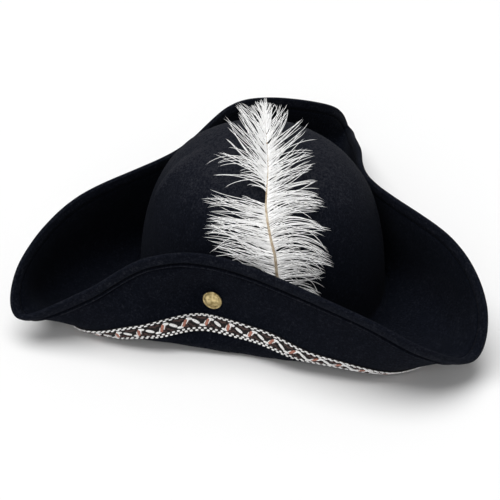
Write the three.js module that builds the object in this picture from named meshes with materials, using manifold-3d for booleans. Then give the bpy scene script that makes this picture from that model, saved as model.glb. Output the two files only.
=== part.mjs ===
// A black felt tricorn hat: one moulded felt body with its brim turned up on three sides, a woven braid
// sewn round the underside of the brim, three brass studs that hold the turned-up flaps to the crown,
// and an ostrich plume tucked behind one flap.
// Millimetres, +Z up. The hat stands on the flattened bottom of its brim roll at z = 0, and the front
// point of the brim lies towards -Y. The origin is in the middle of the bottom of the hat's box.

import * as THREE from "three";
import { mergeVertices } from "three/addons/utils/BufferGeometryUtils.js";
import Module from "manifold-3d";

// Felt body
const HEAD_LENGTH = 187; // head opening inside the felt, front to back
const HEAD_WIDTH = 173; // head opening inside the felt, side to side
const FELT = 2.4; // thickness of one ply of felt
const CROWN_HEIGHT = 120; // from the surface that the hat stands on to the top of the crown
const CROWN_TAPER = 0.06; // share by which the crown narrows towards its top
const CROWN_PLAN_POWER = 3.0; // superellipse power of the crown's profile, across
const CROWN_RISE_POWER = 2.7; // superellipse power of the crown's profile, upwards
const ROLL_RADIUS = 5; // bend where the crown turns into the brim, to the middle of the felt
const HORN_REACH = 108; // how far a corner of the brim stands out beyond the crown's wall
const FLAP_RISE = 76; // height of a turned-up flap's edge
const HEM_WIDTH = 9.5; // the brim's edge, folded to the underside and stitched down
const HEM_PLY = 1.5; // what the folded and pressed hem adds to the thickness
const HEM_SLOPE = 0.8; // width over which the hem's thickness begins
const HEM_NOSE = 1.3; // how far the hem's rounded fold stands out past its faces
const REST_FLAT = 0.35; // depth of felt that is flattened where the hat stands
const FLAP_GAP = 1.0; // space between a flap and the crown's wall at a stud

// Braid on the underside of the brim
const BRAID_WIDTH = 13.5;
const BRAID_THICKNESS = 1.1;
const BRAID_START = 16; // along the felt, from the bottom of the roll to the braid's near edge, mid-flap
const SEAT_GAP = 0.3; // space between a piece and the one that it sits on

// Studs
const STUD_DIAMETER = 14.5;
const STUD_RIM = 1.1; // straight side of the stud's cap
const STUD_DOME = 2.2; // height of the cap's dome above its rim
const STUD_DOME_RINGS = [[0.82, 0.5], [0.48, 0.87]]; // shares of the cap's radius and of the dome's height
const STUD_SIDES = 18;
const STUD_POST = 3.6; // diameter of the post
const STUD_BACK = 10; // diameter of the plain washer inside the crown
const STUD_BACK_THICKNESS = 1.2;
const STUD_HEIGHT = 39; // height of each stud's middle
const STUD_SINK = 0.5; // how deep the cap and the washer are pressed into the felt
const STUD_HOLE_SIDES = 12;
const DIMPLE_RADIUS = 34; // how far round a stud the flap is drawn in

// Plume
const PLUME_AZIMUTH = 311; // where its shaft stands, in degrees from the front point
const PLUME_FREE = 80; // length of the shaft beyond the crown's shoulder
const PLUME_DROOP = 32; // degrees by which the free length bends over
const PLUME_SHAFT = 2.6; // diameter of the quill's lower end
const PLUME_SHAFT_TIP = 0.9; // diameter of the shaft's upper end
const PLUME_SHAFT_SIDES = 8;
const PLUME_SHAFT_STEPS = 22;
const LOCKS = 9; // locks of barbs on each side of the shaft
const LOCK_LENGTH = 52; // the longest lock
const LOCK_WIDTH = 15;
const LOCK_THICKNESS = 1.6;
const LOCK_NARROWING = 0.6; // share of its width that a lock loses towards its end
const LOCK_RISE = 0.25; // slope with which a lock leaves the shaft, away from the crown
const LOCK_FALL = 0.3; // slope with which it ends, towards the crown
const LOCK_SLANT = 0.4; // slope of a lock's broad side against the shaft
const LOCK_SIDES = 4;
const LOCK_STEPS = 4;

// Edges shorter than these are left out of the joined plume and of the felt with its holes.
const PLUME_DETAIL = 0.1;
const FELT_DETAIL = 0.005;

// Stations round the brim, from the front point on, anticlockwise seen from above. root and edge are the
// azimuths, in degrees from the front point, where a section leaves the crown and where it ends at the
// brim's edge. reach is a share of HORN_REACH and rise a share of FLAP_RISE. turn is the slope, in
// degrees, with which the brim leaves the roll, flat is how much of its way it keeps to that slope before
// it folds up, and lip is its slope at the edge. braid is the braid's distance as a share of BRAID_START.
const STATIONS = [
  { root: 0, edge: 3, reach: 0.9, rise: 0.28, turn: 6, flat: 0.45, lip: 20, braid: 3.3 },
  { root: 18, edge: 12, reach: 0.8, rise: 0.6, turn: 6, flat: 0.32, lip: 62, braid: 2.8 },
  { root: 37, edge: 24, reach: 0.46, rise: 0.89, turn: 10, flat: 0.32, lip: 62, braid: 1.4 },
  { root: 56, edge: 63, reach: -0.03, rise: 0.92, turn: 6, flat: 0.14, lip: 97, braid: 1.1 },
  { root: 74, edge: 92, reach: 0.24, rise: 0.86, turn: 6, flat: 0.34, lip: 74, braid: 1.45 },
  { root: 92, edge: 104, reach: 0.62, rise: 0.58, turn: 6, flat: 0.62, lip: 76, braid: 2.5 },
  { root: 111, edge: 111, reach: 1.04, rise: 0.33, turn: 6, flat: 0.45, lip: 20, braid: 3.3 },
  { root: 133, edge: 115, reach: 0.87, rise: 0.68, turn: 6, flat: 0.62, lip: 76, braid: 2.5 },
  { root: 156, edge: 139, reach: 0.45, rise: 0.97, turn: 6, flat: 0.34, lip: 74, braid: 1.45 },
  { root: 180, edge: 180, reach: -0.04, rise: 0.96, turn: 6, flat: 0.14, lip: 97, braid: 1.1 },
  { root: 204, edge: 223, reach: 0.44, rise: 0.91, turn: 6, flat: 0.34, lip: 74, braid: 1.45 },
  { root: 227, edge: 241, reach: 0.88, rise: 0.67, turn: 6, flat: 0.62, lip: 76, braid: 2.5 },
  { root: 249, edge: 248, reach: 0.99, rise: 0.3, turn: 6, flat: 0.45, lip: 20, braid: 3.3 },
  { root: 268, edge: 256, reach: 0.61, rise: 0.59, turn: 6, flat: 0.62, lip: 76, braid: 2.5 },
  { root: 286, edge: 268, reach: 0.28, rise: 0.98, turn: 6, flat: 0.34, lip: 74, braid: 1.45 },
  { root: 304, edge: 294, reach: 0.01, rise: 0.99, turn: 6, flat: 0.14, lip: 97, braid: 1.1 },
  { root: 323, edge: 337, reach: 0.47, rise: 0.85, turn: 10, flat: 0.32, lip: 62, braid: 1.4 },
  { root: 342, edge: 350, reach: 0.79, rise: 0.57, turn: 6, flat: 0.32, lip: 62, braid: 2.8 },
];
const UPRIGHT = 0.55; // how much of its way the folded-up brim keeps to its slope at the edge
const SECTIONS_PER_STATION = 4;

// Rings down the crown, as the superellipse's angle in degrees, from near its top to the foot of its wall.
const CROWN_RINGS = [85, 75, 62, 48, 35, 22, 10, 0];

// Rings round the roll: down to its bottom, in degrees, and beyond it, as shares of the section's turn.
const ROLL_RINGS_DOWN = [36, 73, 90];
const ROLL_RINGS_BEYOND = [1 / 3, 2 / 3, 1];
const FLAP_RINGS = 5; // steps between the braid and the hem

// The studs' azimuths, in degrees from the front point.
const STUDS = [
  { name: "stud_left", azimuth: 68 },
  { name: "stud_rear", azimuth: 180 },
  { name: "stud_right", azimuth: 288 },
];

// The plume's shaft along the crown: the superellipse's angle in degrees, and the shaft's distance from
// the felt as a share of ROLL_RADIUS.
const PLUME_CLIMB = [
  { angle: 12, off: 0 },
  { angle: 22, off: 0 },
  { angle: 32, off: 0.3 },
  { angle: 43, off: 0.3 },
  { angle: 54, off: 0.05 },
];

// Locks of barbs: where on the shaft's length, their length as a share of LOCK_LENGTH, and the angles,
// in degrees from the shaft's direction, at which they leave it and end, on the side of the front point
// (near) and on the other side (far).
const LOCK_ROWS = [
  { at: 0.2, near: 0.85, nearLeave: 52, nearEnd: 108, far: 0.85, farLeave: 52, farEnd: 92 },
  { at: 0.45, near: 1.0, nearLeave: 48, nearEnd: 104, far: 1.0, farLeave: 52, farEnd: 96 },
  { at: 0.75, near: 0.8, nearLeave: 40, nearEnd: 60, far: 0.85, farLeave: 40, farEnd: 66 },
  { at: 0.99, near: 0.55, nearLeave: 12, nearEnd: 8, far: 0.55, farLeave: 14, farEnd: 20 },
];

const wasm = await Module();
wasm.setup();
const { Vector3 } = THREE;
const radians = THREE.MathUtils.degToRad;
const { smoothstep, lerp } = THREE.MathUtils;

// Surfaces and solids

// A closed surface through rings of points. With poles, the first and the last ring each end in one of
// them. Without poles, the last ring joins the first.
function ringSurface(rings, poles) {
  const count = rings[0].length;
  const points = rings.flat();
  const faces = [];
  const last = poles ? rings.length - 1 : rings.length;
  for (let i = 0; i < last; i++) {
    const upper = i * count;
    const lower = ((i + 1) % rings.length) * count;
    for (let j = 0; j < count; j++) {
      const k = (j + 1) % count;
      faces.push(upper + j, lower + j, lower + k);
      faces.push(upper + j, lower + k, upper + k);
    }
  }
  if (poles) {
    const first = points.length;
    points.push(...poles);
    const end = (rings.length - 1) * count;
    for (let j = 0; j < count; j++) {
      const k = (j + 1) % count;
      faces.push(first, j, k);
      faces.push(first + 1, end + k, end + j);
    }
  }
  const geometry = new THREE.BufferGeometry().setFromPoints(points);
  geometry.setIndex(faces);
  return geometry;
}

function toSolid(geometry) {
  const bare = geometry.clone();
  bare.deleteAttribute("normal");
  bare.deleteAttribute("uv");
  const merged = mergeVertices(bare, 1e-4);
  const mesh = new wasm.Mesh({
    numProp: 3,
    vertProperties: new Float32Array(merged.attributes.position.array),
    triVerts: new Uint32Array(merged.index.array),
  });
  return new wasm.Manifold(mesh);
}

function toGeometry(solid) {
  const mesh = solid.getMesh();
  const geometry = new THREE.BufferGeometry();
  geometry.setAttribute("position", new THREE.BufferAttribute(new Float32Array(mesh.vertProperties), 3));
  geometry.setIndex(new THREE.BufferAttribute(new Uint32Array(mesh.triVerts), 1));
  geometry.computeVertexNormals();
  return geometry;
}

// Felt body, as the middle surface of the felt

const rollHeight = ROLL_RADIUS + FELT / 2 - REST_FLAT; // height of the roll's centre
const crownTop = CROWN_HEIGHT - FELT / 2;

// A point from its radius, its azimuth in degrees from the front point, and its height.
function place(radius, azimuth, height) {
  const angle = radians(azimuth);
  return new Vector3(radius * Math.sin(angle), -radius * Math.cos(angle), height);
}

function rootRadius(azimuth) {
  const halfLength = (HEAD_LENGTH + FELT) / 2;
  const halfWidth = (HEAD_WIDTH + FELT) / 2;
  const angle = radians(azimuth);
  return 1 / Math.hypot(Math.cos(angle) / halfLength, Math.sin(angle) / halfWidth);
}

function crownRadius(azimuth, height) {
  const rise = Math.max(0, (height - rollHeight) / (crownTop - rollHeight));
  const round = (1 - rise ** CROWN_RISE_POWER) ** (1 / CROWN_PLAN_POWER);
  return rootRadius(azimuth) * round * (1 - CROWN_TAPER * rise);
}

function crownPoint(azimuth, angle) {
  const rise = Math.sin(radians(angle)) ** (2 / CROWN_RISE_POWER);
  const height = lerp(rollHeight, crownTop, rise);
  return place(crownRadius(azimuth, height), azimuth, height);
}

// One column of the stations at any spot round the brim, on a smooth closed curve through them. A spot is
// counted in stations.
function stationValue(column, spot) {
  const count = STATIONS.length;
  const index = Math.floor(spot);
  const t = spot - index;
  const turns = column === "root" ? 360 : 0;
  const at = (i) => STATIONS[(i + count) % count][column] + turns * Math.floor(i / count);
  const [a, b, c, d] = [at(index - 1), at(index), at(index + 1), at(index + 2)];
  return (2 * b + (c - a) * t + (2 * a - 5 * b + 4 * c - d) * t ** 2 + (3 * b - a - 3 * c + d) * t ** 3) / 2;
}

const edgePoints = STATIONS.map(({ edge, reach, rise }) =>
  place(rootRadius(edge) + reach * HORN_REACH, edge, rise * FLAP_RISE),
);
const brimEdge = new THREE.CatmullRomCurve3(edgePoints, true, "catmullrom");

// A section at any spot round the brim: its azimuths at the crown and at the edge, and its brim beyond
// the roll, as a curve of (distance from the crown's foot, height).
function sectionAt(spot) {
  const root = stationValue("root", spot);
  const degrees = stationValue("turn", spot);
  const turn = radians(degrees);
  const lip = radians(stationValue("lip", spot));
  const rim = brimEdge.getPoint(spot / STATIONS.length);
  const azimuth = THREE.MathUtils.radToDeg(Math.atan2(rim.x, -rim.y));
  const edge = azimuth + 360 * Math.round((root - azimuth) / 360);
  const start = new THREE.Vector2(Math.sin(turn), -Math.cos(turn)).multiplyScalar(ROLL_RADIUS);
  start.add(new THREE.Vector2(ROLL_RADIUS, rollHeight));
  const end = new THREE.Vector2(Math.hypot(rim.x, rim.y) - rootRadius(edge), rim.z);
  const span = start.distanceTo(end);
  const flat = span * stationValue("flat", spot);
  const leave = new THREE.Vector2(Math.cos(turn), Math.sin(turn)).multiplyScalar(flat).add(start);
  const arrive = new THREE.Vector2(Math.cos(lip), Math.sin(lip)).multiplyScalar(-span * UPRIGHT).add(end);
  const braid = stationValue("braid", spot) * BRAID_START;
  return { root, edge, turn: degrees, braid, brim: new THREE.CubicBezierCurve(start, leave, arrive, end) };
}

// Draws the flap in to the crown's wall round each stud.
function drawIn(radius, azimuth, height) {
  let result = radius;
  for (const stud of STUDS) {
    const around = radians(azimuth - stud.azimuth) * rootRadius(azimuth);
    const distance = Math.hypot(around, height - STUD_HEIGHT);
    const share = 1 - smoothstep(distance, STUD_DIAMETER / 2, DIMPLE_RADIUS);
    if (share > 0) {
      const seat = crownRadius(azimuth, height) + FELT + FLAP_GAP;
      result = lerp(result, Math.min(result, seat), share);
    }
  }
  return result;
}

// Lengths along the felt from the bottom of the roll at which a section's brim has a ring.
function brimRings(rollLength, brimLength, braid) {
  const hem = brimLength - HEM_WIDTH;
  const braidEnd = braid + BRAID_WIDTH;
  const rings = [(rollLength + braid) / 2, braid, braid + BRAID_WIDTH / 2, braidEnd];
  for (let i = 1; i < FLAP_RINGS; i++) rings.push(lerp(braidEnd, hem, i / FLAP_RINGS));
  rings.push(hem, hem + HEM_SLOPE, hem + HEM_WIDTH / 2, brimLength);
  return rings;
}
const BRAID_RING = CROWN_RINGS.length + ROLL_RINGS_DOWN.length + ROLL_RINGS_BEYOND.length + 1;
const HEM_RING = BRAID_RING + 2 + FLAP_RINGS;

// The middle of the felt down one section, from the crown's top to the brim's edge.
function middleLine(section) {
  const line = CROWN_RINGS.map((angle) => crownPoint(section.root, angle));
  const root = rootRadius(section.root);
  const beyond = ROLL_RINGS_BEYOND.map((share) => 90 + share * section.turn);
  for (const degrees of [...ROLL_RINGS_DOWN, ...beyond]) {
    const radius = root + ROLL_RADIUS * (1 - Math.cos(radians(degrees)));
    line.push(place(radius, section.root, rollHeight - ROLL_RADIUS * Math.sin(radians(degrees))));
  }
  const rollLength = ROLL_RADIUS * radians(section.turn);
  const length = section.brim.getLength();
  for (const along of brimRings(rollLength, rollLength + length, section.braid)) {
    const share = Math.min(1, (along - rollLength) / length);
    const point = section.brim.getPointAt(share);
    const azimuth = lerp(section.root, section.edge, smoothstep(share, 0, 1));
    line.push(place(drawIn(rootRadius(azimuth) + point.x, azimuth, point.y), azimuth, point.y));
  }
  return line;
}

const middle = [];
const sectionCount = STATIONS.length * SECTIONS_PER_STATION;
for (let j = 0; j < sectionCount; j++) {
  middleLine(sectionAt(j / SECTIONS_PER_STATION)).forEach((point, i) => {
    middle[i] ??= [];
    middle[i].push(point);
  });
}
const lastRing = middle.length - 1;

// The felt's direction across, at each point: out of the crown, and into the trough of the brim.
const across = middle.map((ring, i) =>
  ring.map((point, j) => {
    const around = new Vector3().subVectors(ring[(j + 1) % sectionCount], ring.at(j - 1));
    const [above, below] = [middle[Math.max(i - 1, 0)][j], middle[Math.min(i + 1, lastRing)][j]];
    const down = new Vector3().subVectors(below, above);
    return down.cross(around).normalize();
  }),
);

// The ring of points at a distance from the felt's middle, none of them below the surface it stands on.
function offsetRing(i, distance) {
  return middle[i].map((point, j) => {
    const moved = across[i][j].clone().multiplyScalar(distance).add(point);
    moved.z = Math.max(moved.z, 0);
    return moved;
  });
}

function feltBody() {
  const upper = middle.map((_, i) => offsetRing(i, FELT / 2));
  const under = middle.map((_, i) => offsetRing(i, -FELT / 2 - (i > HEM_RING ? HEM_PLY : 0)));
  const nose = offsetRing(lastRing, -HEM_PLY / 2).map((point, j) => {
    const outward = new Vector3().subVectors(middle[lastRing][j], middle[lastRing - 1][j]).normalize();
    return point.addScaledVector(outward, HEM_NOSE);
  });
  const rings = [...upper, nose, ...under.reverse()];
  const poles = [new Vector3(0, 0, CROWN_HEIGHT), new Vector3(0, 0, CROWN_HEIGHT - FELT)];
  return toSolid(ringSurface(rings, poles));
}

// Braid, on the underside of the felt

function braidTrim() {
  const near = FELT / 2 + SEAT_GAP;
  const far = near + BRAID_THICKNESS;
  const corners = [[2, near], [1, near], [0, near], [0, far], [1, far], [2, far]];
  const lines = corners.map(([i, distance]) => offsetRing(BRAID_RING + i, -distance));
  return ringSurface(lines[0].map((_, j) => lines.map((line) => line[j])));
}

// Studs

// Where a stud passes through the middle of the crown's felt, and its direction outwards.
function studSeat(azimuth) {
  const step = 0.01;
  const at = (a, h) => place(crownRadius(a, h), a, h);
  const point = at(azimuth, STUD_HEIGHT);
  const around = at(azimuth + step, STUD_HEIGHT).sub(point);
  const up = at(azimuth, STUD_HEIGHT + step).sub(point);
  return { point, outward: around.cross(up).normalize() };
}

const studCap = FELT * 1.5 + FLAP_GAP - STUD_SINK + SEAT_GAP; // the cap's underside, from the crown's middle
const studBack = FELT / 2 - STUD_SINK + SEAT_GAP; // the washer's face, inwards from the crown's middle

function studShape() {
  const cap = STUD_DIAMETER / 2;
  const profile = [
    [0, -studBack - STUD_BACK_THICKNESS],
    [STUD_BACK / 2, -studBack - STUD_BACK_THICKNESS],
    [STUD_BACK / 2, -studBack],
    [STUD_POST / 2, -studBack],
    [STUD_POST / 2, studCap],
    [cap, studCap],
    [cap, studCap + STUD_RIM],
    ...STUD_DOME_RINGS.map(([across, up]) => [cap * across, studCap + STUD_RIM + STUD_DOME * up]),
    [0, studCap + STUD_RIM + STUD_DOME],
  ];
  return new THREE.LatheGeometry(profile.map(([x, y]) => new THREE.Vector2(x, y)), STUD_SIDES);
}

// The space that a stud takes in the felt: its post's hole and the hollows that its two faces press.
function studCut(seat) {
  const cap = STUD_DIAMETER / 2 + SEAT_GAP;
  const back = STUD_BACK / 2 + SEAT_GAP;
  const post = STUD_POST / 2 + SEAT_GAP;
  const clear = STUD_DIAMETER / 2;
  const profile = [
    [0, -studBack + SEAT_GAP - clear],
    [back, -studBack + SEAT_GAP - clear],
    [back, -studBack + SEAT_GAP],
    [post, -studBack + SEAT_GAP],
    [post, studCap - SEAT_GAP],
    [cap, studCap - SEAT_GAP],
    [cap, studCap + clear],
    [0, studCap + clear],
  ];
  const outline = profile.map(([x, y]) => new THREE.Vector2(x, y));
  const geometry = new THREE.LatheGeometry(outline, STUD_HOLE_SIDES);
  geometry.applyQuaternion(new THREE.Quaternion().setFromUnitVectors(new Vector3(0, 1, 0), seat.outward));
  geometry.translate(...seat.point.toArray());
  return toSolid(geometry);
}

// Plume

// The shaft: along the crown from behind the flap, then free beyond the crown's shoulder, bending over.
const FREE_STEPS = 3;

function plumeShaft() {
  const clear = FELT / 2 + SEAT_GAP + PLUME_SHAFT / 2;
  const outward = place(1, PLUME_AZIMUTH, 0);
  const points = PLUME_CLIMB.map(({ angle, off }) => {
    const point = crownPoint(PLUME_AZIMUTH, angle);
    const along = crownPoint(PLUME_AZIMUTH, angle + 1).sub(crownPoint(PLUME_AZIMUTH, angle - 1)).normalize();
    const normal = outward.clone().addScaledVector(along, -outward.dot(along)).normalize();
    return point.addScaledVector(normal, clear + off * ROLL_RADIUS);
  });
  const shoulder = points.at(-1);
  const climb = new Vector3().subVectors(shoulder, points.at(-2));
  const slope = Math.atan2(climb.z, -climb.dot(outward));
  for (let i = 0; i < FREE_STEPS; i++) {
    const bend = slope - radians(PLUME_DROOP) * (i + 0.5) / FREE_STEPS;
    const step = outward.clone().multiplyScalar(-Math.cos(bend)).setZ(Math.sin(bend));
    points.push(points.at(-1).clone().addScaledVector(step, PLUME_FREE / FREE_STEPS));
  }
  return new THREE.CatmullRomCurve3(points);
}

// A tapered body along points, with an oval section whose wide side lies along a direction.
function blade(points, widths, thicknesses, wide, sides) {
  const rings = [];
  for (let i = 1; i < points.length - 1; i++) {
    const along = new Vector3().subVectors(points[i + 1], points[i - 1]).normalize();
    const side = wide.clone().addScaledVector(along, -wide.dot(along)).normalize();
    const thin = new Vector3().crossVectors(along, side);
    const ring = [];
    for (let k = 0; k < sides; k++) {
      const angle = 2 * Math.PI * k / sides;
      const point = points[i].clone();
      point.addScaledVector(side, Math.cos(angle) * widths[i] / 2);
      point.addScaledVector(thin, Math.sin(angle) * thicknesses[i] / 2);
      ring.push(point);
    }
    rings.push(ring);
  }
  return toSolid(ringSurface(rings.reverse(), [points.at(-1), points[0]]));
}

// A row of the locks' table at any place on the shaft.
function lockRow(at) {
  const index = Math.max(1, LOCK_ROWS.findIndex((row) => row.at >= at));
  const [a, b] = [LOCK_ROWS[index - 1], LOCK_ROWS[index]];
  const share = (at - a.at) / (b.at - a.at);
  return Object.fromEntries(Object.keys(a).map((column) => [column, lerp(a[column], b[column], share)]));
}

// A lock of barbs on one side of the shaft, from where it leaves the shaft to its loose end.
function lock(shaft, at, length, leave, end, side) {
  const up = shaft.getTangentAt(at);
  const aside = place(1, PLUME_AZIMUTH + 90, 0).multiplyScalar(side);
  const out = new Vector3().crossVectors(aside, up).multiplyScalar(side);
  const points = [shaft.getPointAt(at)];
  const widths = [0];
  for (let i = 0; i < LOCK_STEPS; i++) {
    const share = i / (LOCK_STEPS - 1);
    const angle = radians(lerp(leave, end, share));
    const step = up.clone().multiplyScalar(Math.cos(angle));
    step.addScaledVector(aside, Math.sin(angle)).addScaledVector(out, lerp(LOCK_RISE, -LOCK_FALL, share));
    points.push(points.at(-1).clone().addScaledVector(step.normalize(), length / LOCK_STEPS));
    widths.push(LOCK_WIDTH * (1 - LOCK_NARROWING * share ** 2));
  }
  const thicknesses = widths.map((width) => LOCK_THICKNESS * width / LOCK_WIDTH);
  return blade(points, widths, thicknesses, up.clone().addScaledVector(aside, -LOCK_SLANT), LOCK_SIDES);
}

function ostrichPlume() {
  const shaft = plumeShaft();
  const points = shaft.getSpacedPoints(PLUME_SHAFT_STEPS);
  const sizes = points.map((_, i) => lerp(PLUME_SHAFT, PLUME_SHAFT_TIP, i / PLUME_SHAFT_STEPS));
  const solids = [blade(points, sizes, sizes, place(1, PLUME_AZIMUTH + 90, 0), PLUME_SHAFT_SIDES)];
  const [first, last] = [LOCK_ROWS[0].at, LOCK_ROWS.at(-1).at];
  for (let i = 0; i < LOCKS; i++) {
    const at = lerp(first, last, i / (LOCKS - 1));
    const row = lockRow(at);
    solids.push(lock(shaft, at, row.near * LOCK_LENGTH, row.nearLeave, row.nearEnd, 1));
    solids.push(lock(shaft, at, row.far * LOCK_LENGTH, row.farLeave, row.farEnd, -1));
  }
  return wasm.Manifold.union(solids).simplify(PLUME_DETAIL);
}

// Finishes

const blackFelt = new THREE.MeshStandardMaterial({ color: "#16181d", roughness: 0.95, metalness: 0 });
const wovenBraid = new THREE.MeshStandardMaterial({ color: "#5b4640", roughness: 0.8, metalness: 0 });
const agedBrass = new THREE.MeshStandardMaterial({ color: "#9a8346", roughness: 0.35, metalness: 1 });
const whiteFeather = new THREE.MeshStandardMaterial({ color: "#f1efea", roughness: 0.7, metalness: 0 });

// The hat

const hat = new THREE.Group();

function add(name, geometry, material) {
  const mesh = new THREE.Mesh(geometry, material);
  mesh.name = name;
  hat.add(mesh);
  return mesh;
}

let felt = feltBody();
for (const stud of STUDS) {
  const seat = studSeat(stud.azimuth);
  felt = felt.subtract(studCut(seat));
  const mesh = add(stud.name, studShape(), agedBrass);
  mesh.position.copy(seat.point);
  mesh.quaternion.setFromUnitVectors(new Vector3(0, 1, 0), seat.outward);
}
add("felt_body", toGeometry(felt.simplify(FELT_DETAIL)), blackFelt);
add("braid_trim", braidTrim(), wovenBraid);
add("ostrich_plume", toGeometry(ostrichPlume()), whiteFeather);

// The group is moved so that the box that the hat fills has the origin in the middle of its bottom.
const box = new THREE.Box3().setFromObject(hat, true);
const middleOfBox = box.getCenter(new Vector3());
hat.position.set(-middleOfBox.x, -middleOfBox.y, -box.min.z);

export default hat;
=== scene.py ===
import math

import bpy
import numpy as np
from mathutils import Matrix, Vector, noise


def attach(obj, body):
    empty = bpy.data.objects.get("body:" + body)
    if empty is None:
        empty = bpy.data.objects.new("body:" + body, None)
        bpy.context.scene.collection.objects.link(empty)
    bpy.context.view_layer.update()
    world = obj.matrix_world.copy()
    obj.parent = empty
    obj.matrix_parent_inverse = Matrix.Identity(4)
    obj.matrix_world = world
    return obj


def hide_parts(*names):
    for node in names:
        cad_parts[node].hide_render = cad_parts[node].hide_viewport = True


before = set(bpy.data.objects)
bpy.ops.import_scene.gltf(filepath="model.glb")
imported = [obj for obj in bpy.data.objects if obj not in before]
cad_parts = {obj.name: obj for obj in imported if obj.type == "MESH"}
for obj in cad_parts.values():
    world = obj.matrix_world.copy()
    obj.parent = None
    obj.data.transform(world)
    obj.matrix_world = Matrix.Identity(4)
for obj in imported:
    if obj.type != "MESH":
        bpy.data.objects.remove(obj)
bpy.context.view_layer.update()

# Felt body
# Crown and brim are one hood of black wool felt, 2.4 mm thick, steamed and pressed over a block. The brim
# is turned up on three sides, and its edge is folded to the underside and stitched down all round.
MM = 0.001
CROWN_MIDDLE = np.array([-3.116, 40.793, 0.0])  # in the hat's frame; the points below are in mm from it
HEAD_LENGTH = 187
HEAD_WIDTH = 173
FELT = 2.4
CROWN_HEIGHT = 120
CROWN_TAPER = 0.06
CROWN_PLAN_POWER = 3.0
CROWN_RISE_POWER = 2.7
ROLL_RADIUS = 5  # of the bend from the crown into the brim
HORN_REACH = 108
FLAP_RISE = 76
HEM_WIDTH = 9.5
HEM_PLY = 1.5
REST_FLAT = 0.35  # how deep the roll is pressed flat where the hat stands
FLAP_GAP = 1.0
BRAID_WIDTH = 13.5
BRAID_START = 16
STUD_DIAMETER = 14.5
STUD_HEIGHT = 39
STUD_AZIMUTHS = [68, 180, 288]  # degrees from the front point, anticlockwise seen from above
DIMPLE_RADIUS = 34  # round a stud, where it draws the flap in
UPRIGHT = 0.55  # share of a section's span over which its edge keeps its own slope

# Stations round the brim: the azimuths where a section leaves the crown and where it ends, how far its edge
# stands out and up, the slopes at its foot and its edge, and where the braid lies on it.
COLUMNS = ["root", "edge", "reach", "rise", "turn", "flat", "lip", "braid"]
STATIONS = np.array([
    [0, 3, 0.90, 0.28, 6, 0.45, 20, 3.3],
    [18, 12, 0.80, 0.60, 6, 0.32, 62, 2.8],
    [37, 24, 0.46, 0.89, 10, 0.32, 62, 1.4],
    [56, 63, -0.03, 0.92, 6, 0.14, 97, 1.1],
    [74, 92, 0.24, 0.86, 6, 0.34, 74, 1.45],
    [92, 104, 0.62, 0.58, 6, 0.62, 76, 2.5],
    [111, 111, 1.04, 0.33, 6, 0.45, 20, 3.3],
    [133, 115, 0.87, 0.68, 6, 0.62, 76, 2.5],
    [156, 139, 0.45, 0.97, 6, 0.34, 74, 1.45],
    [180, 180, -0.04, 0.96, 6, 0.14, 97, 1.1],
    [204, 223, 0.44, 0.91, 6, 0.34, 74, 1.45],
    [227, 241, 0.88, 0.67, 6, 0.62, 76, 2.5],
    [249, 248, 0.99, 0.30, 6, 0.45, 20, 3.3],
    [268, 256, 0.61, 0.59, 6, 0.62, 76, 2.5],
    [286, 268, 0.28, 0.98, 6, 0.34, 74, 1.45],
    [304, 294, 0.01, 0.99, 6, 0.14, 97, 1.1],
    [323, 337, 0.47, 0.85, 10, 0.32, 62, 1.4],
    [342, 350, 0.79, 0.57, 6, 0.32, 62, 2.8],
])
SECTIONS = 378
SECTION_POINTS = 241

roll_height = ROLL_RADIUS + FELT / 2 - REST_FLAT
crown_top = CROWN_HEIGHT - FELT / 2


def ease(share):
    share = np.clip(share, 0, 1)
    return share * share * (3 - 2 * share)


def unit(vectors):
    return vectors / np.linalg.norm(vectors, axis=-1, keepdims=True)


def place(radius, azimuth, height):
    """Points from their radius, their azimuth in degrees from the front point, and their height."""
    radius, angle, height = np.broadcast_arrays(radius, np.radians(azimuth), height)
    return np.stack([radius * np.sin(angle), -radius * np.cos(angle), height], -1)


def root_radius(azimuth):
    angle = np.radians(azimuth)
    half_length, half_width = (HEAD_LENGTH + FELT) / 2, (HEAD_WIDTH + FELT) / 2
    return 1 / np.hypot(np.cos(angle) / half_length, np.sin(angle) / half_width)


def crown_radius(azimuth, height):
    rise = np.clip((height - roll_height) / (crown_top - roll_height), 0, 1)
    round_off = (1 - rise ** CROWN_RISE_POWER) ** (1 / CROWN_PLAN_POWER)
    return root_radius(azimuth) * round_off * (1 - CROWN_TAPER * rise)


def crown_point(azimuth, angle):
    rise = np.sin(np.radians(angle)) ** (2 / CROWN_RISE_POWER)
    height = roll_height + (crown_top - roll_height) * rise
    return place(crown_radius(azimuth, height), azimuth, height)


def between(a, b, c, d, t):
    """Values from b to c on a smooth curve that also passes through a and d."""
    return (2 * b + (c - a) * t + (2 * a - 5 * b + 4 * c - d) * t ** 2 + (3 * b - a - 3 * c + d) * t ** 3) / 2


def through_stations(values, spots, whole_turn=0.0):
    """Values at any spots round the brim, on a smooth closed curve through those of the stations."""
    count = len(values)
    first = np.floor(spots).astype(int)
    near = (values[n % count].T + whole_turn * (n // count) for n in (first - 1, first, first + 1, first + 2))
    return between(*near, spots - first).T


def draw_in(radius, azimuth, height):
    """Draws a flap in to the crown's wall round each stud."""
    for stud in STUD_AZIMUTHS:
        around = np.radians(azimuth - stud) * root_radius(azimuth)
        distance = np.hypot(around, height - STUD_HEIGHT)
        share = 1 - ease((distance - STUD_DIAMETER / 2) / (DIMPLE_RADIUS - STUD_DIAMETER / 2))
        seat = crown_radius(azimuth, height) + FELT + FLAP_GAP
        radius = radius + (np.minimum(radius, seat) - radius) * share
    return radius


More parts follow.
